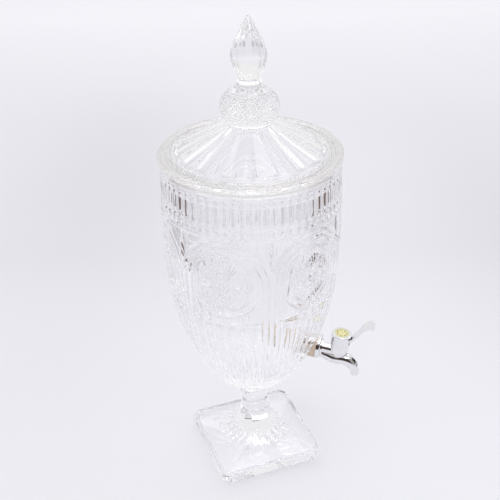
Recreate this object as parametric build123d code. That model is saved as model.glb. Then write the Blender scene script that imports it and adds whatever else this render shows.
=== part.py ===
from build123d import *
import math
import os

# Lemonade jug: a tall urn of pressed clear glass on a square pedestal foot, with a
# loose fluted lid, a flame finial, and a sprung chromed tap low on one side.
# Frame: +Z up, origin at the middle of the foot's underside, +X towards the tap.
# All sizes in millimetres.

# ---------------------------------------------------------------- driving sizes
FOOT_HALF = 55.4          # half side of the foot at the table, inside its bevel
FOOT_HALF_MID = 58.8      # half side above the bevel
FOOT_BEVEL_Z = 3.4
FOOT_HALF_TOP = 58.3      # half side at the top of the plate's edge
PYRAMID_BASE = 54.0       # half side where the pyramid springs from the plate's border
FOOT_EDGE_Z = 12.5        # height of the plate's edge
FOOT_CHAMFER = 7.0        # cut corners of the square
FOOT_TURN = 38.0          # degrees the square is turned against the tap
PYRAMID_HALF = 21.0       # half side where the pyramid runs into the stem
RING_Z = 33.0             # step where the stem meets the fluted flare
JOINT_Z = 84.0            # bond line between foot and bowl
JOINT_R = 17.0

RIM_Z = 360.5             # top of the bowl
RIM_R_OUT = 87.3
RIM_R_IN = 81.2

LID_R = 88.6              # lid's flange
LID_TOP_Z = 366.5
CONE_R = 73.0             # foot of the lid's fluted cone
SKIRT_R = 80.4            # locating skirt that drops into the bowl
KNOB_R = 28.2
LID_JOINT_Z = 431.5       # bond line between knob and finial
TOP_Z = 492.6

HOLE_Z = 149.8            # height of the hole in the glass
HOLE_R = 8.8

# The tap is worked out upright, with its shank along X at z = 150 and its flange's
# back face at x = 74, then tilted and moved to where it sits on the sloping glass.
TAP_TILT = 5.0            # degrees, top of the barrel outwards
TAP_AT = (70.9, 149.3)    # where the middle of the flange's back face comes to
TAP_Z = 150.0
SHANK_R = 7.9
SHANK_BORE_R = 5.0
NECK_R = 5.6
NECK_BORE_R = 3.0
FLANGE_X = 74.0
FLANGE_R = 13.0
FLANGE_T = 4.2
NUT_FACE_X = 57.0         # face of the slip washer against the inner seal
SHANK_END_X = 45.0

BARREL_X = 97.3           # axis of the upright valve barrel
BARREL_R = 10.1
BARREL_TOP_Z = 171.1
BARREL_BOT_Z = 149.9
DRY_R = 8.3               # bore above the guide
WET_R = 6.6               # valve chamber
SEAT_Z = 152.0
GUIDE_Z = 158.8           # underside of the stem guide's flange
GUIDE_T = 2.8
OUTLET_X = 116.9
OUTLET_Z = 126.2
OUTLET_R = 3.3

PIVOT_X = 103.3           # lever pin
PIVOT_Z = 165.0
PIN_R = 1.25
LEVER_T = 2.2             # blade thickness
STEM_R = 1.8


def profile_face(points_groups):
    """Closed face in the XZ plane from a list of ('line'|'spline', points)."""
    edges = []
    last = None
    first = None
    for kind, pts in points_groups:
        if last is not None:
            pts = [last] + pts
        if first is None:
            first = pts[0]
        vs = [Vector(p[0], 0, p[1]) for p in pts]
        if kind == "line":
            for a, b in zip(vs[:-1], vs[1:]):
                edges.append(Edge.make_line(a, b))
        else:
            edges.append(Edge.make_spline(vs))
        last = pts[-1]
    if (last[0] - first[0]) ** 2 + (last[1] - first[1]) ** 2 > 1e-9:
        edges.append(Edge.make_line(Vector(last[0], 0, last[1]), Vector(first[0], 0, first[1])))
    return Face(Wire(edges))


def turned(points_groups):
    """Solid of revolution about Z."""
    return Solid.revolve(profile_face(points_groups), 360, Axis.Z)


def disc_x(r, x0, x1, z=TAP_Z, y=0.0):
    """Cylinder along X from x0 to x1."""
    return Pos(x0, y, z) * Rot(0, 90, 0) * Cylinder(r, x1 - x0, align=(Align.CENTER, Align.CENTER, Align.MIN))


def disc_z(r, z0, z1, x=0.0, y=0.0):
    """Cylinder along Z from z0 to z1."""
    return Pos(x, y, z0) * Cylinder(r, z1 - z0, align=(Align.CENTER, Align.CENTER, Align.MIN))


def disc_y(r, x, z, half):
    """Cylinder along Y, centred."""
    return Pos(x, 0, z) * Rot(90, 0, 0) * Cylinder(r, 2 * half)


def chamfered_square(half, cut):
    pts = [(-half + cut, -half), (half - cut, -half), (half, -half + cut), (half, half - cut),
           (half - cut, half), (-half + cut, half), (-half, half - cut), (-half, -half + cut)]
    return make_face(Polyline(*pts, close=True))


# ---------------------------------------------------------------- bowl
bowl_outer_pts = [(JOINT_R, 86.0), (21.8, 90.0), (33.5, 99.0), (47.2, 115.0), (62.2, 140.0), (74.5, 170.0),
                  (84.0, 210.0), (88.2, 260.0), (88.2, 310.0), (RIM_R_OUT, 350.0)]
bowl_inner_pts = [(RIM_R_IN, 350.0), (82.2, 310.0), (81.9, 260.0), (77.8, 210.0), (68.0, 170.0), (55.4, 140.0),
                  (40.0, 116.5), (22.0, 105.0), (0.0, 101.0)]
bowl_solid_outer = turned([("line", [(0, JOINT_Z), (JOINT_R, JOINT_Z), (JOINT_R, 86.0)]),
                           ("spline", bowl_outer_pts[1:]),
                           ("line", [(RIM_R_OUT, RIM_Z), (0, RIM_Z)])])
bowl_cavity = turned([("line", [(0, RIM_Z + 5), (RIM_R_IN, RIM_Z + 5), (RIM_R_IN, 350.0)]),
                      ("spline", bowl_inner_pts[1:])])
bowl = bowl_solid_outer - bowl_cavity
tap_hole = disc_x(HOLE_R, 40, 90, z=HOLE_Z)
bowl = bowl - tap_hole
bowl = bowl.solid() if hasattr(bowl, "solid") else bowl

# ---------------------------------------------------------------- foot
plate = loft([Pos(0, 0, 0) * chamfered_square(FOOT_HALF, FOOT_CHAMFER - 1.0),
              Pos(0, 0, FOOT_BEVEL_Z) * chamfered_square(FOOT_HALF_MID, FOOT_CHAMFER),
              Pos(0, 0, FOOT_EDGE_Z) * chamfered_square(FOOT_HALF_TOP, FOOT_CHAMFER)], ruled=True)
pyramid = loft([Pos(0, 0, FOOT_EDGE_Z) * chamfered_square(PYRAMID_BASE, FOOT_CHAMFER - 2.0),
                Pos(0, 0, RING_Z - 1) * chamfered_square(PYRAMID_HALF, PYRAMID_HALF * 0.55)], ruled=True)
stem = turned([("line", [(0, 5.0), (26.5, 5.0), (26.5, 31.5)]),
               ("spline", [(24.6, RING_Z), (19.6, 41.0), (16.2, 50.0), (14.5, 60.0), (14.2, 68.0), (15.0, 73.5), (JOINT_R, 77.0)]),
               ("line", [(JOINT_R, JOINT_Z), (0, JOINT_Z)])])
foot = Rot(0, 0, FOOT_TURN) * (plate + pyramid + stem)

# ---------------------------------------------------------------- lid with its knob
lid = turned([("line", [(SKIRT_R, 353.5), (SKIRT_R, RIM_Z), (LID_R, RIM_Z), (LID_R, 364.7), (87.2, LID_TOP_Z),
                        (74.4, LID_TOP_Z), (CONE_R, 367.2), (22.0, 396.0)]),
              ("spline", [(24.6, 398.6), (KNOB_R, 408.0), (25.6, 418.0), (19.5, 424.6), (13.4, 428.2)]),
              ("line", [(10.4, 429.6), (10.4, LID_JOINT_Z), (0, LID_JOINT_Z), (0, 391.0), (14.0, 391.0), (70.5, 360.8),
                        (77.0, 359.0), (77.0, 353.5)])])

# ---------------------------------------------------------------- finial
finial = turned([("line", [(0, LID_JOINT_Z), (10.4, LID_JOINT_Z), (11.4, 433.0)]),
                 ("spline", [(10.8, 435.4), (12.6, 441.5), (15.9, 450.0), (16.7, 457.0), (15.2, 465.0), (11.2, 474.5),
                             (6.6, 483.5), (2.4, 490.8)]),
                 ("line", [(1.2, 492.2), (0, TOP_Z)])])

# ---------------------------------------------------------------- tap body
def in_place(shape):
    """From the upright working position to the tilted one on the glass."""
    return Pos(TAP_AT[0], 0, TAP_AT[1]) * Rot(0, TAP_TILT, 0) * Pos(-FLANGE_X, 0, -TAP_Z) * shape


# The horn sweeps from under the flange, below the barrel, out and down to the outlet.
horn_path = [(77.6, 145.6, 4.7, -0.55), (82.5, 142.7, 5.4, -0.40), (89.3, 141.2, 6.2, -0.10), (96.0, 141.1, 6.7, 0.03),
             (103.5, 142.0, 6.7, -0.12), (109.6, 140.2, 6.3, -0.60), (113.9, 136.0, 5.6, -0.95), (116.3, 131.0, 4.8, -1.30),
             (OUTLET_X, OUTLET_Z, 4.25, -math.pi / 2)]
sections = []
for x, z, r, a in horn_path:
    plane = Plane(origin=(x, 0, z), x_dir=(0, 1, 0), z_dir=(math.cos(a), 0, math.sin(a)))
    sections.append(plane * Ellipse(r * 1.06, r))
horn = loft(sections)
horn -= Pos(FLANGE_X - 9.9, 0, 146) * Box(20, 30, 30)
barrel = turned([("line", [(0, BARREL_BOT_Z), (8.3, BARREL_BOT_Z)]), ("spline", [(9.0, 150.15), (9.35, 150.9)]),
                 ("line", [(BARREL_R, 161.0), (BARREL_R, BARREL_TOP_Z), (0, BARREL_TOP_Z)])])
barrel = Pos(BARREL_X, 0, 0) * barrel
flange = disc_x(FLANGE_R, FLANGE_X, FLANGE_X + FLANGE_T)
flange = fillet(flange.edges().sort_by(Axis.X)[-1], 1.6)
flange += disc_x(8.0, FLANGE_X + FLANGE_T, FLANGE_X + FLANGE_T + 1.8)
neck = disc_x(NECK_R, FLANGE_X, BARREL_X)
shank = disc_x(SHANK_R, SHANK_END_X, FLANGE_X + 1)
tap_body = horn + barrel + flange + neck + shank
tap_body += disc_z(6.2, 146.0, BARREL_BOT_Z + 0.5, BARREL_X)
# passages
tap_body -= disc_x(SHANK_BORE_R, SHANK_END_X - 1, FLANGE_X + 2)
tap_body -= disc_x(NECK_BORE_R, FLANGE_X, BARREL_X - 4.7, z=TAP_Z + 1.2)
tap_body -= disc_z(WET_R, SEAT_Z, GUIDE_Z + 0.5, BARREL_X)
tap_body -= disc_z(DRY_R, GUIDE_Z, BARREL_TOP_Z + 1, BARREL_X)
with BuildLine() as outlet_line:
    FilletPolyline((BARREL_X, 0, SEAT_Z + 0.5), (BARREL_X, 0, 141.9), (108.8, 0, 141.6), (OUTLET_X, 0, 133.4), (OUTLET_X, 0, OUTLET_Z - 2), radius=4.4)
outlet_bore = sweep(Plane(origin=(BARREL_X, 0, SEAT_Z + 0.5), x_dir=(1, 0, 0), z_dir=(0, 0, -1)) * Circle(OUTLET_R), path=outlet_line.line)
tap_body -= outlet_bore
# lever notch at the barrel's outer side, open at the top under the cap
NOTCH_Z = PIVOT_Z - 2.9
tap_body -= Pos(BARREL_X + 9.0, 0, (NOTCH_Z + BARREL_TOP_Z + 1) / 2) * Box(8.0, 8.6, BARREL_TOP_Z + 1 - NOTCH_Z)
# blind seats for the lever pin
tap_body -= disc_y(PIN_R + 0.02, PIVOT_X, PIVOT_Z, 7.22)

# ---------------------------------------------------------------- cap and disc
CAP_Z0, CAP_Z1 = BARREL_TOP_Z, 173.9
tap_cap = disc_z(10.3, CAP_Z0, CAP_Z1, BARREL_X)
tap_cap = fillet(tap_cap.edges().group_by(Axis.Z)[-1], 0.9)
tap_cap += disc_z(8.25, CAP_Z0 - 1.0, CAP_Z0 + 0.2, BARREL_X) - disc_z(6.9, CAP_Z0 - 2.0, CAP_Z0 + 0.1, BARREL_X)
tap_cap -= disc_z(7.35, CAP_Z1 - 0.9, CAP_Z1 + 1, BARREL_X)
tap_cap -= disc_z(4.0, CAP_Z0 - 2.0, CAP_Z1 - 1.5, BARREL_X)          # spring seat
tap_cap -= Pos(BARREL_X + 8.0, 0, CAP_Z0 - 0.8) * Box(8.0, 9.0, 1.6)  # clears the lever's root
tap_cap = tap_cap.solids().sort_by(SortBy.VOLUME)[-1]
cap_disc = disc_z(7.3, CAP_Z1 - 0.9, CAP_Z1 - 0.15, BARREL_X)

# ---------------------------------------------------------------- stem guide, its ring
guide = disc_z(8.25, GUIDE_Z, GUIDE_Z + GUIDE_T, BARREL_X)
guide += disc_z(5.4, GUIDE_Z - 1.3, GUIDE_Z, BARREL_X)
guide -= disc_z(STEM_R + 0.05, GUIDE_Z - 3, GUIDE_Z + GUIDE_T + 1, BARREL_X)
guide_ring = Pos(BARREL_X, 0, GUIDE_Z - 0.62) * Torus(6.0, 0.56)

# ---------------------------------------------------------------- valve stem and its cup
HEAD_Z = PIVOT_Z + 1.45
stem_rod = disc_z(STEM_R, SEAT_Z + 1.0, HEAD_Z + 0.5, BARREL_X) + disc_z(3.6, HEAD_Z, HEAD_Z + 1.5, BARREL_X)
cup = turned([("line", [(0, SEAT_Z + 0.02), (5.0, SEAT_Z + 0.02), (5.2, SEAT_Z + 0.6), (4.4, SEAT_Z + 3.0), (0, SEAT_Z + 3.0)])])
cup = Pos(BARREL_X, 0, 0) * cup
cup -= disc_z(STEM_R, SEAT_Z + 1.0, SEAT_Z + 5, BARREL_X)

# ---------------------------------------------------------------- spring between the stem's head and the cap
SPRING_Z0, SPRING_Z1 = HEAD_Z + 1.5, CAP_Z1 - 1.5
WIRE = 0.32
SPRING_R = 2.75
rise = SPRING_Z1 - SPRING_Z0 - 2 * WIRE - 0.1
helix = Helix(pitch=rise / 3, height=rise, radius=SPRING_R)
spring = sweep(Plane(origin=helix @ 0, z_dir=helix % 0) * Circle(WIRE), path=helix, is_frenet=True)
spring = Pos(BARREL_X, 0, SPRING_Z0 + WIRE + 0.05) * spring

# ---------------------------------------------------------------- lever
blade_pts = [(PIVOT_X + 0.6, PIVOT_Z + 0.5), (106.9, 167.6), (109.6, 170.9), (112.3, 175.0), (115.0, 179.9), (117.6, 185.0),
             (120.8, 188.9), (124.6, 191.0), (129.4, 190.2)]
up, down = [], []
for i, (x, z) in enumerate(blade_pts):
    a = blade_pts[max(0, i - 1)]
    b = blade_pts[min(len(blade_pts) - 1, i + 1)]
    dx, dz = b[0] - a[0], b[1] - a[1]
    n = math.hypot(dx, dz)
    h = LEVER_T / 2 if i < len(blade_pts) - 1 else LEVER_T * 0.32
    up.append((x - dz / n * h, z + dx / n * h))
    down.append((x + dz / n * h, z - dx / n * h))
blade_face = profile_face([("spline", up), ("line", [down[-1]]), ("spline", down[::-1][1:])])
blade = extrude(blade_face, amount=8.2, dir=(0, 1, 0), both=True)
# plan outline of the blade: narrow root inside the barrel, then a broad arm and a rounded paddle
half_w = [(108.3, 5.6), (112.0, 5.5), (117.0, 6.1), (122.0, 7.4), (126.4, 6.9), (129.4, 4.4)]
outline = Face(Wire([Edge.make_line(Vector(108.3, -5.6, 0), Vector(108.3, -3.1, 0)),
                     Edge.make_line(Vector(108.3, -3.1, 0), Vector(100, -3.1, 0)),
                     Edge.make_line(Vector(100, -3.1, 0), Vector(100, 3.1, 0)),
                     Edge.make_line(Vector(100, 3.1, 0), Vector(108.3, 3.1, 0)),
                     Edge.make_line(Vector(108.3, 3.1, 0), Vector(108.3, 5.6, 0)),
                     Edge.make_spline([Vector(x, w, 0) for x, w in half_w] + [Vector(131.0, 0, 0)] + [Vector(x, -w, 0) for x, w in half_w[::-1]])]))
if outline.normal_at().Z < 0:
    outline = -outline
blade = blade & (Pos(0, 0, 150) * extrude(outline, amount=60, dir=(0, 0, 1)))
TINE_END_X = BARREL_X - 1.3
lever = blade + disc_y(2.3, PIVOT_X, PIVOT_Z, 3.1)
for s in (-1, 1):
    lever += Pos((PIVOT_X + TINE_END_X) / 2, s * 3.15, PIVOT_Z) * Box(PIVOT_X - TINE_END_X, 1.7, 1.5)
    lever += disc_y(0.75, TINE_END_X, PIVOT_Z, 0.85).moved(Location((0, s * 3.15, 0)))
    lever += disc_y(2.3, PIVOT_X, PIVOT_Z, 0.6).moved(Location((0, s * 3.4, 0)))
lever -= disc_y(PIN_R + 0.05, PIVOT_X, PIVOT_Z, 6)
lever_pin = disc_y(PIN_R, PIVOT_X, PIVOT_Z, 7.2)

# ---------------------------------------------------------------- seals, slip washer and nut
outer_seal = in_place(disc_x(12.6, 50, FLANGE_X) - disc_x(SHANK_R + 0.05, 45, FLANGE_X + 1))
outer_seal -= bowl_solid_outer
outer_seal = outer_seal.solids().sort_by(Axis.X)[-1]
inner_seal = in_place(disc_x(13.0, NUT_FACE_X, 80) - disc_x(SHANK_R + 0.05, 45, 90)) & bowl_cavity
inner_seal = inner_seal.solids().sort_by(SortBy.VOLUME)[-1]
slip_washer = disc_x(13.0, NUT_FACE_X - 1.4, NUT_FACE_X) - disc_x(SHANK_R + 0.05, 40, 60)
NUT_X1 = NUT_FACE_X - 1.4
NUT_X0 = NUT_X1 - 7.6
hexa = Plane(origin=(NUT_X0, 0, TAP_Z), x_dir=(0, 1, 0), z_dir=(1, 0, 0)) * RegularPolygon(radius=13.2, side_count=6)
nut = extrude(hexa, amount=5.8) + disc_x(13.6, NUT_X1 - 2.0, NUT_X1)
nut -= disc_x(SHANK_R + 0.05, 40, 60)

tap_body, tap_cap, cap_disc, guide, guide_ring, stem_rod, cup, spring, lever, lever_pin, slip_washer, nut = [
    in_place(v) for v in (tap_body, tap_cap, cap_disc, guide, guide_ring, stem_rod, cup, spring, lever, lever_pin, slip_washer, nut)]

# ---------------------------------------------------------------- write
os.makedirs("parts", exist_ok=True)
nodes = {
    "glass_bowl": bowl,
    "pedestal_foot": foot,
    "glass_lid": lid,
    "lid_finial": finial,
    "tap_body": tap_body,
    "tap_cap": tap_cap,
    "cap_disc": cap_disc,
    "stem_guide": guide,
    "guide_o_ring": guide_ring,
    "valve_stem": stem_rod,
    "valve_cup_seal": cup,
    "valve_spring": spring,
    "tap_lever": lever,
    "lever_pin": lever_pin,
    "outer_wedge_seal": outer_seal,
    "inner_wedge_seal": inner_seal,
    "slip_washer": slip_washer,
    "fixing_nut": nut,
}
for old in os.listdir("parts"):
    if old.endswith(".step") and old[:-5] not in nodes:
        os.remove(os.path.join("parts", old))
for name, shape in nodes.items():
    solids = shape.solids()
    out = solids[0] if len(solids) == 1 else Compound(list(solids))
    export_step(out, f"parts/{name}.step")
    print(name, len(solids), round(sum(s.volume for s in solids), 1))
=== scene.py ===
import math

import bpy
import numpy as np
from mathutils import Matrix, Vector


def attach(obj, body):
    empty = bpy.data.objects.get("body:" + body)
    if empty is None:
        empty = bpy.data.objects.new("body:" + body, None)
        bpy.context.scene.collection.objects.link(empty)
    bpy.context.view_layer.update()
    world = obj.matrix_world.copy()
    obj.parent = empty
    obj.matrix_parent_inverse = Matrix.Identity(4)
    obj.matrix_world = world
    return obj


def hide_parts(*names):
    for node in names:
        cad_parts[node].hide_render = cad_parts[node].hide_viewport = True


# Pressed-glass drink dispenser. The glass pieces are closed meshes with their cut pattern worked out as
# heights over the plain CAD surfaces; the tap and its fixings are the CAD solids with finished surfaces.
# Lengths are worked out in millimetres and written to the meshes in metres.

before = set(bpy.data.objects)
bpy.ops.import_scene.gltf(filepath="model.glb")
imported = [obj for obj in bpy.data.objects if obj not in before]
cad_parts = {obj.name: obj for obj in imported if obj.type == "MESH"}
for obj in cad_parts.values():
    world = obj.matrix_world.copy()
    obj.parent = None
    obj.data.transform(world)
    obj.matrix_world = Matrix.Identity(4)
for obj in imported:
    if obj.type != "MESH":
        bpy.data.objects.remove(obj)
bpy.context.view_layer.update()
MM = 0.001
PI = math.pi

# the camera, as fitted to the photograph (mm, radians, pixels of a 500 px frame)
CAM_DIST, CAM_HEIGHT, CAM_PITCH, CAM_ROLL, CAM_YAW, CAM_F = 726.86, 679.96, 0.52935, -0.019454, -0.00298, 829.716
CAM_AZ = 0.31922
FACING = CAM_AZ - PI / 2  # direction from the jug's axis to the camera


# ------------------------------------------------------------------ helpers
def cubic(points, n=3000):
    """Natural cubic through (r, z) points, by chord length, as dense arrays r, z."""
    p = np.array(points, float)
    t = np.concatenate([[0], np.cumsum(np.hypot(*np.diff(p, axis=0).T))])
    h = np.diff(t)
    k = len(t)
    a = np.zeros((k, k))
    b = np.zeros((k, 2))
    a[0, 0] = a[-1, -1] = 1
    for i in range(1, k - 1):
        a[i, i - 1], a[i, i], a[i, i + 1] = h[i - 1], 2 * (h[i - 1] + h[i]), h[i]
        b[i] = 6 * ((p[i + 1] - p[i]) / h[i] - (p[i] - p[i - 1]) / h[i - 1])
    m = np.linalg.solve(a, b)
    s = np.linspace(0, t[-1], n)
    i = np.clip(np.searchsorted(t, s, side="right") - 1, 0, k - 2)
    d1, d2, hh = (t[i + 1] - s)[:, None], (s - t[i])[:, None], h[i][:, None]
    out = (m[i] * d1**3 + m[i + 1] * d2**3) / (6 * hh) + (p[i] / hh - m[i] * hh / 6) * d1 + (p[i + 1] / hh - m[i + 1] * hh / 6) * d2
    return out[:, 0], out[:, 1]


def smooth(a, b, x):
    t = np.clip((x - a) / (b - a), 0, 1)
    return t * t * (3 - 2 * t)


def wrap(a, period):
    return (a + period / 2) % period - period / 2


def resample(pts, step):
    """Points along a polyline, about step apart, keeping its corners."""
    out = [np.array(pts[0], float)]
    for a, b in zip(pts[:-1], pts[1:]):
        a, b = np.array(a, float), np.array(b, float)
        n = max(1, int(math.ceil(np.linalg.norm(b - a) / step)))
        out += [a + (b - a) * k / n for k in range(1, n + 1)]
    return np.array(out)


def make_object(name, verts, quads, tris, body, nodes, mat, angle=40):
    mesh = bpy.data.meshes.new(name)
    quads = np.asarray(quads, np.int32).reshape(-1, 4)
    tris = np.asarray(tris, np.int32).reshape(-1, 3)
    loops = np.concatenate([quads.ravel(), tris.ravel()])
    starts = np.concatenate([np.arange(len(quads)) * 4, len(quads) * 4 + np.arange(len(tris)) * 3])
    mesh.vertices.add(len(verts))
    mesh.vertices.foreach_set("co", (np.asarray(verts, float) * MM).astype(np.float32).ravel())
    mesh.loops.add(len(loops))
    mesh.loops.foreach_set("vertex_index", loops.astype(np.int32))
    mesh.polygons.add(len(starts))
    mesh.polygons.foreach_set("loop_start", starts.astype(np.int32))
    mesh.update(calc_edges=True)
    mesh.validate()
    mesh.polygons.foreach_set("use_smooth", np.ones(len(mesh.polygons), bool))
    mesh.set_sharp_from_angle(angle=math.radians(angle))
    obj = bpy.data.objects.new(name, mesh)
    bpy.context.scene.collection.objects.link(obj)
    obj.data.materials.append(mat)
    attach(obj, body)
    if nodes:
        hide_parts(*nodes)
    return obj


def lathe_grid(rows):
    """Closed surface from rows of equal-length rings, listed so that the outside is on the left going up.
    rows: array (n, m, 3). Ends are closed with a point. Returns verts, quads, tris."""
    n, m, _ = rows.shape
    verts = list(rows.reshape(-1, 3))
    i = np.arange(n - 1)[:, None]
    j = np.arange(m)[None, :]
    a = i * m + j
    b = i * m + (j + 1) % m
    c = (i + 1) * m + (j + 1) % m
    d = (i + 1) * m + j
    quads = np.stack([a, b, c, d], -1).reshape(-1, 4)
    verts = np.array(verts)
    low, high = rows[0].mean(0), rows[-1].mean(0)
    verts = np.vstack([verts, low, high])
    k = np.arange(m)
    tris = np.vstack([
        np.stack([np.full(m, n * m), (k + 1) % m, k], -1),
        np.stack([np.full(m, n * m + 1), (n - 1) * m + k, (n - 1) * m + (k + 1) % m], -1),
    ])
    return verts, quads, tris


# ------------------------------------------------------------------ materials
def new_material(name):
    mat = bpy.data.materials.new(name)
    mat.use_nodes = True
    tree = mat.node_tree
    tree.nodes.clear()
    return mat, tree, tree.nodes, tree.links


def noise(nodes, links, coord, scale, detail=2.0, rough=0.5):
    n = nodes.new("ShaderNodeTexNoise")
    n.inputs["Scale"].default_value = scale
    n.inputs["Detail"].default_value = detail
    n.inputs["Roughness"].default_value = rough
    links.new(coord, n.inputs["Vector"])
    return n


def ramp(nodes, links, fac, stops):
    r = nodes.new("ShaderNodeValToRGB")
    r.color_ramp.elements[0].position, r.color_ramp.elements[0].color = stops[0][0], (*stops[0][1], 1)
    r.color_ramp.elements[1].position, r.color_ramp.elements[1].color = stops[-1][0], (*stops[-1][1], 1)
    for pos, col in stops[1:-1]:
        e = r.color_ramp.elements.new(pos)
        e.color = (*col, 1)
    links.new(fac, r.inputs["Fac"])
    return r


def glass_material(name, tint, flange=False, wave=0.022):
    """Pressed clear glass: slightly wavy fire-polished skin, faint tint where the glass is thick."""
    mat, tree, nodes, links = new_material(name)
    out = nodes.new("ShaderNodeOutputMaterial")
    bsdf = nodes.new("ShaderNodeBsdfPrincipled")
    bsdf.inputs["Transmission Weight"].default_value = 1.0
    bsdf.inputs["IOR"].default_value = 1.5
    bsdf.inputs["Roughness"].default_value = 0.0
    coord = nodes.new("ShaderNodeTexCoord").outputs["Object"]
    long_wave = noise(nodes, links, coord, 95.0, 1.5)
    fine = noise(nodes, links, coord, 420.0, 2.0)
    mix = nodes.new("ShaderNodeMath")
    mix.operation = "MULTIPLY_ADD"
    links.new(fine.outputs["Fac"], mix.inputs[0])
    mix.inputs[1].default_value = 0.06
    links.new(long_wave.outputs["Fac"], mix.inputs[2])
    bump = nodes.new("ShaderNodeBump")
    bump.inputs["Strength"].default_value = wave
    bump.inputs["Distance"].default_value = 0.0012
    links.new(mix.outputs[0], bump.inputs["Height"])
    links.new(bump.outputs["Normal"], bsdf.inputs["Normal"])
    smudge = noise(nodes, links, coord, 60.0, 4.0, 0.6)
    rough = ramp(nodes, links, smudge.outputs["Fac"], [(0.35, (0.0, 0.0, 0.0)), (0.75, (0.018, 0.018, 0.018))])
    sep = nodes.new("ShaderNodeSeparateXYZ")
    links.new(coord, sep.inputs[0])

    def calc(op, a, b, c=0.0):
        n = nodes.new("ShaderNodeMath")
        n.operation = op
        for i, v in enumerate((a, b, c)):
            if isinstance(v, (int, float)):
                n.inputs[i].default_value = v
            else:
                links.new(v, n.inputs[i])
        return n.outputs[0]

    # lid's seat and the bowl's rim are ground, the rest is fire polished
    radius = calc("SQRT", calc("ADD", calc("MULTIPLY", sep.outputs["X"], sep.outputs["X"]), calc("MULTIPLY", sep.outputs["Y"], sep.outputs["Y"])), 0.0)
    if flange:
        ground = calc("MULTIPLY", calc("GREATER_THAN", radius, 0.0768), calc("LESS_THAN", sep.outputs["Z"], 0.3609))
    else:
        ground = calc("MULTIPLY", calc("GREATER_THAN", sep.outputs["Z"], 0.3597), calc("LESS_THAN", sep.outputs["Z"], 0.3620))
    links.new(calc("MULTIPLY_ADD", ground, 0.32, rough.outputs["Color"]), bsdf.inputs["Roughness"])
    if flange:
        tone = ramp(nodes, links, calc("MULTIPLY", radius, 10.0), [(0.0, tint), (0.70, tint), (0.79, (1.0, 0.992, 0.965)), (0.9, (1.0, 0.988, 0.955))])
    else:
        tone = ramp(nodes, links, long_wave.outputs["Fac"], [(0.3, tint), (0.7, tuple(min(1.0, c * 1.004) for c in tint))])
    links.new(tone.outputs["Color"], bsdf.inputs["Base Color"])
    # light reaches through the glass to the table
    path = nodes.new("ShaderNodeLightPath")
    clear = nodes.new("ShaderNodeBsdfTransparent")
    clear.inputs["Color"].default_value = (0.966, 0.966, 0.970, 1)
    pick = nodes.new("ShaderNodeMixShader")
    links.new(path.outputs["Is Shadow Ray"], pick.inputs[0])
    links.new(bsdf.outputs[0], pick.inputs[1])
    links.new(clear.outputs[0], pick.inputs[2])
    links.new(pick.outputs[0], out.inputs["Surface"])
    return mat


def chrome_material(name, rough=0.05):
    mat, tree, nodes, links = new_material(name)
    out = nodes.new("ShaderNodeOutputMaterial")
    bsdf = nodes.new("ShaderNodeBsdfPrincipled")
    bsdf.inputs["Metallic"].default_value = 1.0
    coord = nodes.new("ShaderNodeTexCoord").outputs["Object"]
    cloud = noise(nodes, links, coord, 160.0, 5.0, 0.65)
    tone = ramp(nodes, links, cloud.outputs["Fac"], [(0.3, (0.83, 0.83, 0.84)), (0.7, (0.90, 0.90, 0.905))])
    links.new(tone.outputs["Color"], bsdf.inputs["Base Color"])
    r = ramp(nodes, links, cloud.outputs["Fac"], [(0.35, (rough * 0.7,) * 3), (0.75, (rough * 1.8,) * 3)])
    links.new(r.outputs["Color"], bsdf.inputs["Roughness"])
    skin = noise(nodes, links, coord, 900.0, 2.0)
    bump = nodes.new("ShaderNodeBump")
    bump.inputs["Strength"].default_value = 0.015
    bump.inputs["Distance"].default_value = 0.0004
    links.new(skin.outputs["Fac"], bump.inputs["Height"])
    links.new(bump.outputs["Normal"], bsdf.inputs["Normal"])
    links.new(bsdf.outputs[0], out.inputs["Surface"])
    return mat


def soft_material(name, dark, light, rough, scale, bump_strength, sss=0.0, sheen=0.0):
    mat, tree, nodes, links = new_material(name)
    out = nodes.new("ShaderNodeOutputMaterial")
    bsdf = nodes.new("ShaderNodeBsdfPrincipled")
    coord = nodes.new("ShaderNodeTexCoord").outputs["Object"]
    cloud = noise(nodes, links, coord, scale, 4.0, 0.6)
    tone = ramp(nodes, links, cloud.outputs["Fac"], [(0.3, dark), (0.7, light)])
    links.new(tone.outputs["Color"], bsdf.inputs["Base Color"])
    r = ramp(nodes, links, cloud.outputs["Fac"], [(0.3, (rough * 0.85,) * 3), (0.7, (min(1.0, rough * 1.15),) * 3)])
    links.new(r.outputs["Color"], bsdf.inputs["Roughness"])
    grain = noise(nodes, links, coord, scale * 9, 2.0)
    bump = nodes.new("ShaderNodeBump")
    bump.inputs["Strength"].default_value = bump_strength
    bump.inputs["Distance"].default_value = 0.0003
    links.new(grain.outputs["Fac"], bump.inputs["Height"])
    links.new(bump.outputs["Normal"], bsdf.inputs["Normal"])
    if sss:
        bsdf.inputs["Subsurface Weight"].default_value = sss
        bsdf.inputs["Subsurface Radius"].default_value = (0.004, 0.003, 0.002)
        bsdf.inputs["Subsurface Scale"].default_value = 1.0
    if sheen:
        bsdf.inputs["Sheen Weight"].default_value = sheen
    links.new(bsdf.outputs[0], out.inputs["Surface"])
    return mat


GLASS = glass_material("pressed_glass", (0.992, 0.992, 0.996))
GLASS_LID = glass_material("pressed_glass_lid", (0.995, 0.995, 0.996), flange=True, wave=0.016)
CHROME = chrome_material("chrome_plate")
STEEL = chrome_material("stainless", 0.22)
SILICONE = soft_material("beige_silicone", (0.76, 0.60, 0.47), (0.82, 0.68, 0.55), 0.45, 220.0, 0.10, sss=0.25)
PLASTIC = soft_material("cream_plastic", (0.80, 0.72, 0.60), (0.87, 0.80, 0.69), 0.38, 150.0, 0.08, sss=0.1)
RUBBER = soft_material("black_rubber", (0.02, 0.02, 0.02), (0.045, 0.045, 0.045), 0.55, 300.0, 0.15)

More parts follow.
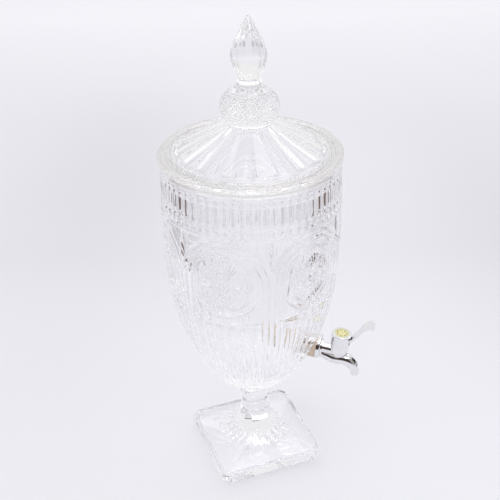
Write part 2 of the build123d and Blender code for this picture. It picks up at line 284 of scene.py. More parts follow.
# ------------------------------------------------------------------ bowl
OUT_R, OUT_Z = cubic([(17.0, 86.0), (21.8, 90.0), (33.5, 99.0), (47.2, 115.0), (62.2, 140.0), (74.5, 170.0), (84.0, 210.0),
                      (88.2, 260.0), (88.2, 310.0), (87.3, 350.0)])
IN_R, IN_Z = cubic([(81.2, 350.0), (82.2, 310.0), (81.9, 260.0), (77.8, 210.0), (68.0, 170.0), (55.4, 140.0), (40.0, 116.5),
                    (22.0, 105.0), (0.0, 101.0)])
HOLE_Z, HOLE_R = 149.8, 8.8
ZC = 263.5          # height of the rosettes' centres
SECTOR = PI / 3
FLUTES = 69


def out_radius(z):
    r = np.interp(z, OUT_Z, OUT_R)
    return np.where(z <= 86.0, 17.0, np.where(z >= 350.0, 87.3, r))


def reed(e, half, height):
    """Half-round moulding at e = 0."""
    t = np.clip(1 - (e / half) ** 2, 0, 1)
    return height * np.sqrt(t)


def bowl_relief(th, z):
    """Depth of the pressed pattern below the plain outer surface, mm (negative is deeper)."""
    r0 = out_radius(z)
    d = np.zeros_like(z)
    # --- band of upright flutes with a row of ovals above and below
    step = 2 * PI / FLUTES
    u = r0 * wrap(th - (FACING + math.radians(1.06)), step)
    dz = np.maximum(0, np.abs(z - 336.7) - 8.0)
    rho = (u / 3.45) ** 2 + (dz / 2.9) ** 2
    d -= 1.25 * np.clip(1 - rho, 0, 1) ** 0.95
    d -= 1.15 * np.clip(1 - (u / 2.9) ** 2 - ((z - 350.6) / 2.35) ** 2, 0, 1) ** 0.8
    d -= 1.15 * np.clip(1 - (u / 2.9) ** 2 - ((z - 319.9) / 3.0) ** 2, 0, 1) ** 0.8
    # fine lines above and below the band
    d -= 0.35 * np.exp(-(((z - 354.3) / 0.7) ** 2))
    d -= 0.45 * np.exp(-(((z - 315.6) / 0.8) ** 2))

    # --- panels
    a = wrap(th - SECTOR / 2, SECTOR)            # from the nearest rosette's centre line
    ux = r0 * a
    half = r0 * SECTOR / 2
    halfc = 88.2 * SECTOR / 2
    above = z > ZC
    rho_c = np.hypot(ux, z - ZC)
    e = np.where(above, halfc - rho_c, half - np.abs(ux))
    squeeze = np.clip(r0 / 80.0, 0.22, 1.0)
    ew = np.where(above, e, e / squeeze)
    zone = smooth(313.5, 311.5, z)
    low_end = smooth(90.0, 96.0, z)
    # ground of the panel inside the arch, and of the spandrel between arches
    ground = -1.75
    g = np.where(ew > 9.0, ground, 0.0)
    panel = ground * np.ones_like(z)
    m1 = reed(ew, 3.05, 1.75)
    m2 = reed(ew - 6.0, 2.95, 1.6)
    panel = panel + np.maximum(m1, m2)
    # thin raised line inside the arch
    panel = panel + np.where(above | (z > 226), reed(ew - 12.6, 1.3, 0.7), 0)

    # spindle leaf between neighbouring arches
    b = r0 * wrap(th, SECTOR)
    t = np.clip((z - 282.0) / 30.0, 0, 1)
    leaf_w = 3.4 * np.sin(PI * t) ** 0.8 * (1.15 - 0.5 * t) + 1e-6
    leaf = np.clip(1 - np.abs(b) / leaf_w, 0, 1) * 1.9
    side = np.abs(b) / (leaf_w + 2.2)
    panel = np.where((z > 282) & (z < 312) & (ew < -1.0), np.maximum(panel, ground + leaf), panel)

    # medallion: rosette of five fans round a beaded boss
    ang = np.arctan2(z - ZC, ux)
    k72 = 2 * PI / 5
    q = wrap(ang - PI / 2, k72)
    outer = 28.0 - 5.5 * np.abs(q / (k72 / 2)) ** 2.6
    inside = (rho_c < outer) & (rho_c > 7.4)
    dome = np.clip(1 - (np.abs(q) / (k72 / 2)) ** 4, 0, 1) ** 0.5 * np.clip((outer - rho_c) / 2.2, 0, 1) ** 0.5
    ribs = np.abs(np.cos(q * 2 * PI / k72 * 4.5))
    fan = 1.75 * dome - 1.15 * (1 - ribs) * smooth(7.5, 12.0, rho_c)
    fan -= 0.6 * np.exp(-(((rho_c - 14.0) / 0.8) ** 2))
    panel = np.where(inside, np.maximum(panel, ground + fan), panel)
    boss = 1.75 * np.sqrt(np.clip(1 - (rho_c / 7.4) ** 2, 0, 1))
    bead_a = wrap(ang, PI / 4) * np.maximum(rho_c, 0.1)
    beads = 0.65 * np.sqrt(np.clip(1 - (bead_a**2 + (rho_c - 4.9) ** 2) / 1.7**2, 0, 1))
    centre = 0.7 * np.sqrt(np.clip(1 - (rho_c / 2.2) ** 2, 0, 1))
    panel = np.where(rho_c < 7.4, ground + boss * 0.7 + beads * 1.4 + centre * 1.2, panel)
    # the curved sill that closes the medallion below
    sill = reed(rho_c - 33.5, 2.4, 1.75) * smooth(ZC - 14, ZC - 22, z)
    panel = np.maximum(panel, ground + sill)

    # --- lower flutes, three each side of the panel's middle between the columns
    wide = np.maximum(half - 9.0 * squeeze, 1.0)
    s = np.clip(np.abs(ux) / wide, 0, 1) * 3.0
    f = s - np.floor(np.minimum(s, 2.9999))
    scoop = (0.5 - 0.5 * np.cos(2 * PI * f)) ** 0.8
    top = 219.0 - 3.5 * (1 - scoop)
    depth = 2.1 * np.clip(r0 / 80.0, 0.25, 1.0)
    flute = -0.15 - depth * scoop * smooth(top + 0.5, top - 7.0, z)
    lower = np.where(ew > 9.0, flute, panel)
    mix = smooth(224.5, 219.5, z)
    panel = np.where(ew > 9.0, panel * (1 - mix) + lower * mix, panel)
    panel = panel * low_end
    d = d * (1 - zone) + panel * zone

    # --- plain round pad for the tap's seal
    y = r0 * np.sin(wrap(th, 2 * PI))
    near = np.where(np.abs(wrap(th, 2 * PI)) < 1.0, np.hypot(y, z - HOLE_Z), 99.0)
    keep = smooth(14.6, 17.6, near)
    return d * keep - 0.05


def build_bowl():
    nu = 720
    zs = [84.0, 84.25]
    z = 84.25
    while z < 360.3 - 1.3:
        z += 1.1 if (z > 216 and z < 356) else 1.35
        zs.append(z)
    zs = np.array([v for v in zs if v < 359.6])
    th = np.arange(nu) * 2 * PI / nu
    TH, Z = np.meshgrid(th, zs)
    r0 = out_radius(Z)
    y = r0 * np.sin(TH)
    front = np.cos(TH) > 0
    rho = np.where(front, np.hypot(y, Z - HOLE_Z), 99.0)
    # faces that fall in the hole
    nr = len(zs)
    jn = (np.arange(nu) + 1) % nu
    cen = (rho[:-1] + rho[1:] + rho[:-1][:, jn] + rho[1:][:, jn]) / 4
    gone = cen < HOLE_R
    touched = np.zeros((nr, nu), int)
    count = np.zeros((nr, nu), int)
    for di in (0, 1):
        for dj in (0, 1):
            src = np.roll(gone, dj, axis=1)
            touched[di:nr - 1 + di] += src
            count[di:nr - 1 + di] += 1
    edge = (touched > 0) & (touched < 4)
    psi = np.arctan2(Z - HOLE_Z, y)
    yo, zo = y.copy(), Z.copy()
    yo[edge], zo[edge] = HOLE_R * np.cos(psi[edge]), HOLE_Z + HOLE_R * np.sin(psi[edge])
    ro = out_radius(zo)
    THo = np.where(edge, np.arcsin(np.clip(yo / ro, -1, 1)), TH)
    Ro = ro + bowl_relief(THo, zo)
    outer = np.stack([Ro * np.cos(THo), Ro * np.sin(THo), zo], -1)

    def in_radius(z):
        zz, rr = IN_Z[::-1], IN_R[::-1]
        return np.where(z >= 350.0, 81.2, np.interp(z, zz, rr))

    # inner surface on the same columns, from z = 118 up, then down to a point
    first = int(np.searchsorted(zs, 118.0))
    zi = Z[first:].copy()
    ti = TH[first:].copy()
    ri = in_radius(zi)
    yi = ri * np.sin(ti)
    blend = 1 - smooth(HOLE_R, 20.0, rho[first:])
    yi = np.where(front[first:], yi * (1 - blend) + y[first:] * blend, yi)
    e2 = edge[first:]
    yi[e2] = HOLE_R * np.cos(psi[first:][e2])
    zi[e2] = HOLE_Z + HOLE_R * np.sin(psi[first:][e2])
    ri = in_radius(zi)
    near = (rho[first:] < 22) & front[first:]
    ti = np.where(near, np.arcsin(np.clip(yi / ri, -1, 1)), ti)
    inner = np.stack([ri * np.cos(ti), ri * np.sin(ti), zi], -1)
    down_z = IN_Z[(IN_Z < 117.2)]
    down_r = IN_R[(IN_Z < 117.2)]
    arc = np.concatenate([[0], np.cumsum(np.hypot(np.diff(down_r), np.diff(down_z)))])
    s = np.linspace(0, arc[-1] * 0.985, 30)
    dr, dz = np.interp(s, arc, down_r), np.interp(s, arc, down_z)
    bottom = np.stack([dr[:, None] * np.cos(th), dr[:, None] * np.sin(th), np.repeat(dz[:, None], nu, 1)], -1)

    # rim: rounded over from the outer wall to the inner
    rim = []
    for r_, z_ in [(87.25, 359.75), (87.0, 360.1), (86.5, 360.3), (84.2, 360.3), (82.0, 360.3), (81.5, 360.15), (81.25, 359.8)]:
        rim.append(np.stack([r_ * np.cos(th), r_ * np.sin(th), np.full(nu, z_)], -1))
    # under the bowl: flat to the middle
    base = []
    for r_ in (0.4, 5.0, 10.0, 14.0, 16.2, 16.8):
        base.append(np.stack([r_ * np.cos(th), r_ * np.sin(th), np.full(nu, 84.03)], -1))
    outer[0, :, 2] = 84.03
    rows = np.concatenate([np.array(base), outer, np.array(rim), inner[::-1], bottom], 0)
    verts, quads, tris = lathe_grid(rows)
    o0 = len(base)
    i_last = o0 + nr + len(rim) + (nr - first) - 1    # row index of inner z = zs[first]
    # drop the hole's faces from both walls and line the hole
    quads = quads.reshape(rows.shape[0] - 1, nu, 4)
    keep = np.ones(quads.shape[:2], bool)
    lining = []
    for i, j in zip(*np.nonzero(gone)):
        keep[o0 + i, j] = False
        ri_row = i_last - (i - first)
        keep[ri_row - 1, j] = False
        ring = [(i, j), (i, (j + 1) % nu), (i + 1, (j + 1) % nu), (i + 1, j)]
        next_face = [(i - 1, j), (i, (j + 1) % nu), (i + 1, j), (i, (j - 1) % nu)]
        for k in range(4):
            fi, fj = next_face[k]
            if not gone[fi, fj]:
                p, q = ring[k], ring[(k + 1) % 4]
                po, qo = (o0 + p[0]) * nu + p[1], (o0 + q[0]) * nu + q[1]
                pi_, qi = (i_last - (p[0] - first)) * nu + p[1], (i_last - (q[0] - first)) * nu + q[1]
                lining.append([po, qo, qi, pi_])
    quads = np.vstack([quads[keep], np.array(lining)])
    # drop the loose points left inside the hole
    used = np.zeros(len(verts), bool)
    used[quads.ravel()] = True
    used[tris.ravel()] = True
    index = np.cumsum(used) - 1
    return make_object("bowl_glass", verts[used], index[quads], index[tris], "jug", ["glass_bowl"], GLASS, 50)


build_bowl()


# ------------------------------------------------------------------ lid with its knob
def build_lid():
    nu = 480
    th = np.arange(nu) * 2 * PI / nu
    panel = 2 * PI / 16
    ridge = FACING
    kr, kz = cubic([(22.0, 396.2), (24.6, 398.8), (28.0, 408.0), (25.4, 418.0), (19.4, 424.4), (13.3, 428.0)], 2000)
    arc = np.concatenate([[0], np.cumsum(np.hypot(np.diff(kr), np.diff(kz)))])
    s = np.linspace(0, arc[-1], 190)
    knob = np.stack([np.interp(s, arc, kr), np.interp(s, arc, kz)], 1)
    under = resample([(0.4, 391.0), (14.0, 391.0), (70.5, 360.8), (77.0, 359.0), (77.0, 354.2)], 2.2)
    skirt = resample([(77.3, 353.6), (80.1, 353.6), (80.35, 354.1), (80.35, 360.0), (80.6, 360.52)], 1.6)
    flange = resample([(84.5, 360.52), (88.0, 360.52), (88.45, 360.9), (88.5, 364.5), (88.2, 365.3), (87.2, 366.3), (86.5, 366.45),
                       (75.2, 366.45), (74.2, 366.6), (73.2, 367.1)], 0.8)
    cone = resample([(72.6, 367.4), (23.4, 395.2)], 0.7)
    neck = resample([(22.2, 395.9)], 1.0)
    collar = resample([(12.9, 428.3), (11.6, 428.6), (10.9, 429.3), (10.7, 430.2), (11.3, 430.7), (10.9, 431.42), (8.0, 431.47), (0.4, 431.47)], 0.8)
    prof = np.vstack([under, skirt, flange, cone, neck, knob, collar])
    kinds = np.concatenate([np.full(len(under), 0), np.full(len(skirt), 1), np.full(len(flange), 2), np.full(len(cone), 3),
                            np.full(len(neck), 4), np.full(len(knob), 5), np.full(len(collar), 6)])
    ks = np.concatenate([np.zeros(len(prof) - len(knob) - len(collar)), s, np.zeros(len(collar))])
    rows = []
    slope = math.atan2(395.2 - 367.4, 72.6 - 23.4)
    for (r, z), kind, sv in zip(prof, kinds, ks):
        rr, zz = np.full(nu, r), np.full(nu, z)
        if kind == 3:
            t = np.abs(wrap(th - ridge, panel)) / (panel / 2)     # 0 on a ridge, 1 in the middle of a panel
            depth = 2.7 * (r / 73.0) ** 1.2 * smooth(73.4, 68.5, r) + 0.0
            dd = depth * (1 - (1 - t) ** 2) ** 1.0
            rr = rr - dd * math.sin(slope)
            zz = zz - dd * math.cos(slope)
        if kind == 5:
            n_around = 40
            pitch = 4.4
            a = th * n_around / (2 * PI)
            b = (sv - 1.5) / pitch
            fa = np.abs((a + b) % 1.0 - 0.5) * 2
            fb = np.abs((a - b) % 1.0 - 0.5) * 2
            cut = np.maximum(fa, fb)                 # 0 at a diamond's middle, 1 in a groove
            fade = smooth(1.0, 4.5, sv) * smooth(31.6, 29.4, sv)
            i = int(np.argmin(np.abs(arc - sv)))
            i = min(max(i, 5), len(kr) - 6)
            tr, tz = kr[i + 5] - kr[i - 5], kz[i + 5] - kz[i - 5]
            n = math.hypot(tr, tz)
            dd = 1.15 * cut**1.2 * fade + 0.55 * math.exp(-(((sv - 32.3) / 0.7) ** 2))
            rr = rr - dd * tz / n
            zz = zz + dd * tr / n
        rows.append(np.stack([rr * np.cos(th), rr * np.sin(th), zz], -1))
    verts, quads, tris = lathe_grid(np.array(rows))
    # the profile starts at the middle of the underside and ends on top, so its outside is on the right
    return make_object("lid_glass", verts, quads, tris, "lid", ["glass_lid"], GLASS_LID, 38)


build_lid()


# ------------------------------------------------------------------ finial
def build_finial():
    nu = 288
    th = np.arange(nu) * 2 * PI / nu
    kr, kz = cubic([(10.8, 435.4), (12.6, 441.5), (15.7, 450.0), (16.6, 457.0), (15.1, 465.0), (11.1, 474.5), (6.5, 483.5), (2.4, 490.6)], 1500)
    arc = np.concatenate([[0], np.cumsum(np.hypot(np.diff(kr), np.diff(kz)))])
    s = np.linspace(0, arc[-1], 110)
    body = np.stack([np.interp(s, arc, kr), np.interp(s, arc, kz)], 1)
    low = resample([(0.4, 431.55), (10.2, 431.55), (11.2, 432.0), (11.5, 432.8), (11.1, 433.7), (10.6, 434.6)], 0.8)
    tip = resample([(1.9, 491.4), (1.2, 492.1), (0.3, 492.5)], 0.4)
    prof = np.vstack([low, body, tip])
    rows = []
    for r, z in prof:
        t = np.abs(wrap(th - FACING, 2 * PI / 12)) / (PI / 12)
        start = 438.5 + 7.5 * (1 - t) ** 2
        depth = (0.05 * r + 0.08) * smooth(492.0, 489.0, z) * np.clip((z - start) / 9.0, 0, 1) ** 0.7
        rr = r - depth * (1 - (1 - t) ** 2)
        rows.append(np.stack([rr * np.cos(th), rr * np.sin(th), np.full(nu, z)], -1))
    verts, quads, tris = lathe_grid(np.array(rows))
    return make_object("finial_glass", verts, quads, tris, "lid", ["lid_finial"], GLASS, 42)


build_finial()


# ------------------------------------------------------------------ foot
FOOT_TURN = math.radians(38.0)  # how far round from the tap it is bonded on


def build_foot():
    cut = 7.0
    th = [k * 2 * PI / 528 for k in range(528)]
    for q in range(4):
        for corner in (math.atan2(58.3 - cut, 58.3), math.atan2(53.6 - 5.0, 53.6)):
            for c in (corner, PI / 2 - corner):
                th += [q * PI / 2 + c - 0.003, q * PI / 2 + c + 0.003]
    th = np.array(sorted(set(round(v % (2 * PI), 6) for v in th)))
    nu = len(th)
    c, s = np.abs(np.cos(th)), np.abs(np.sin(th))

    def edge(h, k=cut):
        return h / np.maximum(np.maximum(c, s), (c + s) * h / (2 * h - k))

    rows = []

    def ring(r, z):
        r = np.broadcast_to(r, nu)
        rows.append(np.stack([r * np.cos(th + FOOT_TURN), r * np.sin(th + FOOT_TURN), np.broadcast_to(z, nu)], -1))

    for f in (0.01, 0.25, 0.5, 0.75, 0.97):
        ring(edge(55.0) * f, 0.05)
    for h, z in ((55.3, 0.05), (58.65, 3.45), (58.25, 12.0), (57.8, 12.42), (54.75, 12.42)):
        ring(edge(h), z)
    # the line round the border, where the pyramid springs
    ring(edge(54.4, 5.5), 12.0)
    ring(edge(53.9, 5.2), 12.55)
    base = edge(53.6, 5.0)
    n_ribs = 24
    t_rib = np.abs(wrap(th - PI / 4, 2 * PI / n_ribs)) / (PI / n_ribs)      # 0 along the middle of a flute
    ring_r = 24.2 + 1.2 * np.sqrt(np.clip(1 - t_rib**2, 0, 1))
    n = 96
    for k in range(n + 1):
        t = k / n
        r = base + (ring_r - base) * t
        x, y = r * np.cos(th), r * np.sin(th)
        m = np.maximum(np.maximum(np.abs(x), np.abs(y)), (np.abs(x) + np.abs(y)) * 53.6 / (2 * 53.6 - 5.0))
        square = 12.9 + (53.6 - m) / (53.6 - 20.0) * 17.5
        roundz = 12.9 + (53.6 - r) / (53.6 - 24.0) * 18.0
        w = smooth(0.55, 1.0, t)
        z = square * (1 - w) + roundz * w
        reach = 0.66 + 0.08 * np.cos(4 * (th - PI / 4))
        p = np.clip((1 - t) / reach, 0, 1)
        wide = np.sqrt(np.clip(1 - p**3, 0, 1)) + 1e-6
        z = z - 2.1 * np.clip(1 - (t_rib / wide) ** 2, 0, 1) * np.sqrt(np.clip(1 - p**2, 0, 1)) * (1 - 0.35 * p)
        ring(r, z)
    top_z = rows[-1][:, 2].copy()
    ring(ring_r - 0.5, np.maximum(top_z + 0.9, 32.2))
    ring(ring_r - 1.4, 33.4)
    ring(ring_r * 0 + 23.0, 33.9)
    kr, kz = cubic([(22.4, 34.6), (19.6, 41.0), (16.2, 50.0), (14.5, 60.0), (14.2, 68.0), (15.0, 73.5), (16.4, 76.2)], 800)
    for k in range(46):
        i = int(k / 45 * 799)
        t8 = np.abs(wrap(th, 2 * PI / 12)) / (PI / 12)
        dd = 0.45 * (1 - (1 - t8) ** 2) * smooth(35.0, 40.0, kz[i]) * smooth(74.5, 70.0, kz[i])
        ring(kr[i] - dd, kz[i])
    for r, z in [(16.85, 76.7), (16.95, 77.5), (16.95, 80.0), (16.95, 82.4), (16.8, 83.2), (16.4, 83.75), (15.8, 83.97)]:
        ring(np.full(nu, r), z)
    for r in (12.0, 7.0, 0.4):
        ring(np.full(nu, r), 83.97)
    verts, quads, tris = lathe_grid(np.array(rows))
    return make_object("foot_glass", verts, quads, tris, "jug", ["pedestal_foot"], GLASS, 28)


build_foot()


# ------------------------------------------------------------------ tap and fixings keep their CAD shapes
def disc_material():
    """Pale yellow plastic with a plain broken ring pressed into it, the ring drawn as painted shade in the colour.
    """
    mat, tree, nodes, links = new_material("yellow_disc")
    out = nodes.new("ShaderNodeOutputMaterial")
    bsdf = nodes.new("ShaderNodeBsdfPrincipled")
    bsdf.inputs["Roughness"].default_value = 0.28
    coord = nodes.new("ShaderNodeTexCoord").outputs["Object"]
    shift = nodes.new("ShaderNodeVectorMath")
    shift.operation = "SUBTRACT"
    shift.inputs[1].default_value = (0.09615, 0.0, 0.0)
    links.new(coord, shift.inputs[0])
    sep = nodes.new("ShaderNodeSeparateXYZ")
    links.new(shift.outputs[0], sep.inputs[0])

    def math_node(op, a, b=None, c=None):
        n = nodes.new("ShaderNodeMath")
        n.operation = op
        for i, v in enumerate((a, b, c)):
            if v is None:
                continue
            if isinstance(v, (int, float)):
                n.inputs[i].default_value = v
            else:
                links.new(v, n.inputs[i])
        return n.outputs[0]

    x, y = sep.outputs["X"], sep.outputs["Y"]
    r = math_node("SQRT", math_node("ADD", math_node("MULTIPLY", x, x), math_node("MULTIPLY", y, y)))
    ang = math_node("ARCTAN2", y, x)
    # painted shade: the broken ring is coloured dark where its pressed groove would be in shade
    ring = math_node("LESS_THAN", math_node("ABSOLUTE", math_node("SUBTRACT", r, 0.0050)), 0.00042)
    dash = math_node("GREATER_THAN", math_node("SINE", math_node("MULTIPLY", ang, 7.0)), -0.1)
    groove_shade = math_node("MULTIPLY", ring, dash)
    cloud = noise(nodes, links, coord, 300.0, 3.0)
    tone = ramp(nodes, links, cloud.outputs["Fac"], [(0.3, (0.80, 0.76, 0.36)), (0.7, (0.86, 0.82, 0.44))])
    mix = nodes.new("ShaderNodeMix")
    mix.data_type = "RGBA"
    links.new(groove_shade, mix.inputs["Factor"])
    links.new(tone.outputs["Color"], mix.inputs["A"])
    mix.inputs["B"].default_value = (0.16, 0.14, 0.09, 1)
    links.new(mix.outputs["Result"], bsdf.inputs["Base Color"])
    links.new(bsdf.outputs[0], out.inputs["Surface"])
    return mat


def dress(node, mat):
    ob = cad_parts[node]
    if not ob.material_slots:
        ob.data.materials.append(mat)
    for slot in ob.material_slots:
        slot.material = mat


for node, mat in {
    "tap_body": CHROME, "tap_cap": CHROME, "tap_lever": CHROME, "lever_pin": STEEL, "valve_stem": STEEL, "valve_spring": STEEL,
    "cap_disc": disc_material(), "stem_guide": PLASTIC, "guide_o_ring": RUBBER, "valve_cup_seal": SILICONE,
    "outer_wedge_seal": SILICONE, "inner_wedge_seal": SILICONE, "slip_washer": PLASTIC, "fixing_nut": PLASTIC,
}.items():
    dress(node, mat)


# ------------------------------------------------------------------ stage
def build_stage():
    mat, tree, nodes, links = new_material("pale_paper")
    out = nodes.new("ShaderNodeOutputMaterial")
    bsdf = nodes.new("ShaderNodeBsdfPrincipled")
    bsdf.inputs["Roughness"].default_value = 0.9
    bsdf.inputs["Specular IOR Level"].default_value = 0.15
    coord = nodes.new("ShaderNodeTexCoord").outputs["Object"]
    cloud = noise(nodes, links, coord, 2.2, 3.0)
    tone = ramp(nodes, links, cloud.outputs["Fac"], [(0.3, (0.800, 0.798, 0.835)), (0.7, (0.812, 0.810, 0.847))])

    def along(direction):
        n = nodes.new("ShaderNodeVectorMath")
        n.operation = "DOT_PRODUCT"
        n.inputs[1].default_value = (*direction, 0.0)
        links.new(coord, n.inputs[0])
        return n.outputs["Value"]

    def calc(op, a, b=None):
        n = nodes.new("ShaderNodeMath")
        n.operation = op
        for i, v in enumerate((a, b)):
            if isinstance(v, (int, float)):
                n.inputs[i].default_value = v
            elif v is not None:
                links.new(v, n.inputs[i])
        return n.outputs[0]

    far = along((-math.cos(FACING), -math.sin(FACING)))
    across = along((-math.sin(FACING), math.cos(FACING)))

    def painted_shadow(f0, a0, fs, sa, amount):
        """Painted shadow: a soft darker spot on the paper."""
        u = calc("DIVIDE", calc("SUBTRACT", far, f0), fs)
        v = calc("DIVIDE", calc("SUBTRACT", across, a0), sa)
        q = calc("ADD", calc("MULTIPLY", u, u), calc("MULTIPLY", v, v))
        return calc("MULTIPLY", calc("EXPONENT", calc("MULTIPLY", q, -1.0)), amount)

    # painted shadow: three soft darker spots mixed into the paper's colour, left and right of the jug and beside
    # the foot
    shade = calc("ADD", calc("ADD", painted_shadow(0.70, -0.27, 0.50, 0.20, 0.15), painted_shadow(0.45, 0.46, 0.5, 0.18, 0.14)), painted_shadow(0.02, -0.28, 0.25, 0.16, 0.08))
    mix = nodes.new("ShaderNodeMix")
    mix.data_type = "RGBA"
    links.new(shade, mix.inputs["Factor"])
    links.new(tone.outputs["Color"], mix.inputs["A"])
    mix.inputs["B"].default_value = (0.32, 0.315, 0.345, 1)
    links.new(mix.outputs["Result"], bsdf.inputs["Base Color"])
    # painted light: the paper glows by emission, a little more round the foot and more with distance
    span = nodes.new("ShaderNodeMapRange")
    span.inputs["From Min"].default_value = -0.3
    span.inputs["From Max"].default_value = 1.9
    links.new(far, span.inputs["Value"])
    glow = ramp(nodes, links, span.outputs["Result"], [(0.0, (0.06, 0.06, 0.06)), (0.14, (0.075, 0.075, 0.075)), (0.33, (0.02, 0.02, 0.02)),
                                                       (0.60, (0.09, 0.09, 0.09)), (1.0, (0.29, 0.29, 0.29))])
    bsdf.inputs["Emission Color"].default_value = (0.985, 0.975, 1.0, 1)
    links.new(glow.outputs["Color"], bsdf.inputs["Emission Strength"])
    links.new(bsdf.outputs[0], out.inputs["Surface"])
    mesh = bpy.data.meshes.new("floor")
    mesh.from_pydata([(-6, -6, 0), (6, -6, 0), (6, 6, 0), (-6, 6, 0)], [], [(0, 1, 2, 3)])
    floor = bpy.data.objects.new("floor", mesh)
    bpy.context.scene.collection.objects.link(floor)
    floor.data.materials.append(mat)


def area_light(name, at, to, size, size_y, power, color=(1, 1, 1)):
    data = bpy.data.lights.new(name, "AREA")
    data.shape = "RECTANGLE"
    data.size, data.size_y = size, size_y
    data.energy = power
    data.color = color
    ob = bpy.data.objects.new(name, data)
    bpy.context.scene.collection.objects.link(ob)
    ob.location = at
    ob.rotation_euler = (Vector(to) - Vector(at)).to_track_quat("-Z", "Y").to_euler()
    return ob


def seen_from_camera(az_deg, el_deg, dist):
    """A point at an azimuth right of the camera's side of the jug (0 is towards the camera), in metres."""
    a = FACING + math.radians(az_deg)
    e = math.radians(el_deg)
    return (dist * math.cos(a) * math.cos(e), dist * math.sin(a) * math.cos(e), 0.25 + dist * math.sin(e))


def build_world():
    world = bpy.data.worlds.new("studio")
    bpy.context.scene.world = world
    world.use_nodes = True
    nodes, links = world.node_tree.nodes, world.node_tree.links
    nodes.clear()
    out = nodes.new("ShaderNodeOutputWorld")
    bg = nodes.new("ShaderNodeBackground")
    coord = nodes.new("ShaderNodeTexCoord").outputs["Generated"]
    sep = nodes.new("ShaderNodeSeparateXYZ")
    links.new(coord, sep.inputs[0])
    # paper sweep behind the jug, a dimmer room at the sides and behind the camera, a pale ceiling
    back = nodes.new("ShaderNodeVectorMath")
    back.operation = "DOT_PRODUCT"
    back.inputs[1].default_value = (-math.cos(FACING), -math.sin(FACING), 0.0)
    links.new(coord, back.inputs[0])
    half = nodes.new("ShaderNodeMath")
    half.operation = "MULTIPLY_ADD"
    links.new(back.outputs["Value"], half.inputs[0])
    half.inputs[1].default_value = 0.5
    half.inputs[2].default_value = 0.5
    around = ramp(nodes, links, half.outputs[0], [(0.0, (0.34, 0.33, 0.34)), (0.28, (0.44, 0.43, 0.44)), (0.5, (0.62, 0.61, 0.63)),
                                                  (0.68, (0.97, 0.965, 1.0)), (1.0, (1.0, 0.995, 1.0))])
    ceiling = ramp(nodes, links, sep.outputs["Z"], [(0.0, (0.0, 0.0, 0.0)), (0.72, (0.0, 0.0, 0.0)), (0.86, (1.0, 1.0, 1.0)), (1.0, (1.0, 1.0, 1.0))])
    tone = nodes.new("ShaderNodeMix")
    tone.data_type = "RGBA"
    links.new(ceiling.outputs["Color"], tone.inputs["Factor"])
    links.new(around.outputs["Color"], tone.inputs["A"])
    tone.inputs["B"].default_value = (0.95, 0.95, 0.97, 1)
    links.new(tone.outputs["Result"], bg.inputs["Color"])
    bg.inputs["Strength"].default_value = 0.88
    links.new(bg.outputs[0], out.inputs["Surface"])


def card(name, at, width, height, color, turn=(0, 0, FACING), glass=True):
    """A card beside the set, which the glass and the chrome pick up at their edges."""
    mat, tree, nodes, links = new_material(name)
    out = nodes.new("ShaderNodeOutputMaterial")
    bsdf = nodes.new("ShaderNodeBsdfDiffuse")
    bsdf.inputs["Color"].default_value = (*color, 1)
    links.new(bsdf.outputs[0], out.inputs["Surface"])
    mesh = bpy.data.meshes.new(name)
    w, h = width / 2, height / 2
    mesh.from_pydata([(-w, -h, 0), (w, -h, 0), (w, h, 0), (-w, h, 0)], [], [(0, 1, 2, 3)])
    ob = bpy.data.objects.new(name, mesh)
    bpy.context.scene.collection.objects.link(ob)
    ob.location = at
    ob.rotation_euler = turn
    ob.data.materials.append(mat)
    ob.visible_camera = False
    ob.visible_shadow = False
    ob.visible_diffuse = False
    ob.visible_transmission = glass
    return ob


def on_paper(az_deg, dist):
    x, y, _ = seen_from_camera(az_deg, 0, dist)
    return x, y, 0.006


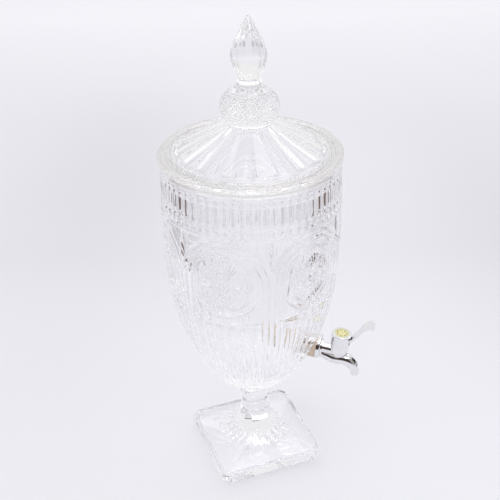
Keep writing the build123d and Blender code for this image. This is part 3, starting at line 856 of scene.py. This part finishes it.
def build_camera():
    cp, sp = math.cos(CAM_PITCH), math.sin(CAM_PITCH)
    cy, sy = math.cos(CAM_YAW), math.sin(CAM_YAW)
    cr, sr = math.cos(CAM_ROLL), math.sin(CAM_ROLL)
    right = Vector((cy, -sy, 0))
    ahead = Vector((cp * sy, cp * cy, -sp))
    up = Vector((sp * sy, sp * cy, cp))
    r2 = cr * right + sr * up
    u2 = -sr * right + cr * up
    turn = Matrix.Rotation(CAM_AZ, 3, "Z")
    r2, u2, ahead = turn @ r2, turn @ u2, turn @ ahead
    at = turn @ Vector((0, -CAM_DIST, CAM_HEIGHT)) * MM
    m = Matrix((r2, u2, -ahead)).transposed().to_4x4()
    m.translation = at
    data = bpy.data.cameras.new("camera")
    data.sensor_fit = "HORIZONTAL"
    data.sensor_width = 36.0
    data.lens = CAM_F / 500 * 36.0
    data.clip_start = 0.02
    data.clip_end = 50
    cam = bpy.data.objects.new("camera", data)
    bpy.context.scene.collection.objects.link(cam)
    cam.matrix_world = m
    bpy.context.scene.camera = cam


build_stage()
build_world()
area_light("key_top", seen_from_camera(40, 70, 1.7), (0, 0, 0.2), 1.3, 1.3, 8.4)
area_light("left_box", seen_from_camera(-75, 38, 1.5), (0, 0, 0.25), 0.9, 1.2, 2.6)
area_light("back_box", seen_from_camera(176, 50, 1.6), (0, 0, 0.2), 2.4, 0.5, 3.5)
lamp = area_light("front_lamp", seen_from_camera(25, 55, 1.5), (0, 0, 0.1), 0.22, 0.22, 0.8)
lamp.data.shape = "ELLIPSE"
card("card_right", on_paper(94, 0.78), 0.62, 0.46, (0.13, 0.085, 0.065))
card("card_left", on_paper(-94, 0.78), 0.62, 0.46, (0.13, 0.085, 0.065))
card("grey_right", on_paper(150, 0.62), 0.30, 0.26, (0.56, 0.555, 0.58))
card("grey_left", on_paper(-150, 0.62), 0.30, 0.26, (0.56, 0.555, 0.58))
# the dark of the room behind the camera, which the chrome picks up
card("card_front", seen_from_camera(0, 25, 1.5), 1.8, 1.2, (0.06, 0.04, 0.035), (PI / 2, 0, FACING + PI / 2), False)
card("card_side", seen_from_camera(96, 14, 1.5), 0.9, 1.3, (0.06, 0.04, 0.035), (0, PI / 2, FACING + math.radians(96)), False)
build_camera()

scene = bpy.context.scene
scene.view_settings.view_transform = "Standard"
scene.view_settings.look = "None"
scene.cycles.use_denoising = True
scene.cycles.max_bounces = 48
scene.cycles.transmission_bounces = 40
scene.cycles.transparent_max_bounces = 40
scene.cycles.glossy_bounces = 40
scene.cycles.diffuse_bounces = 3
scene.cycles.sample_clamp_indirect = 6.0
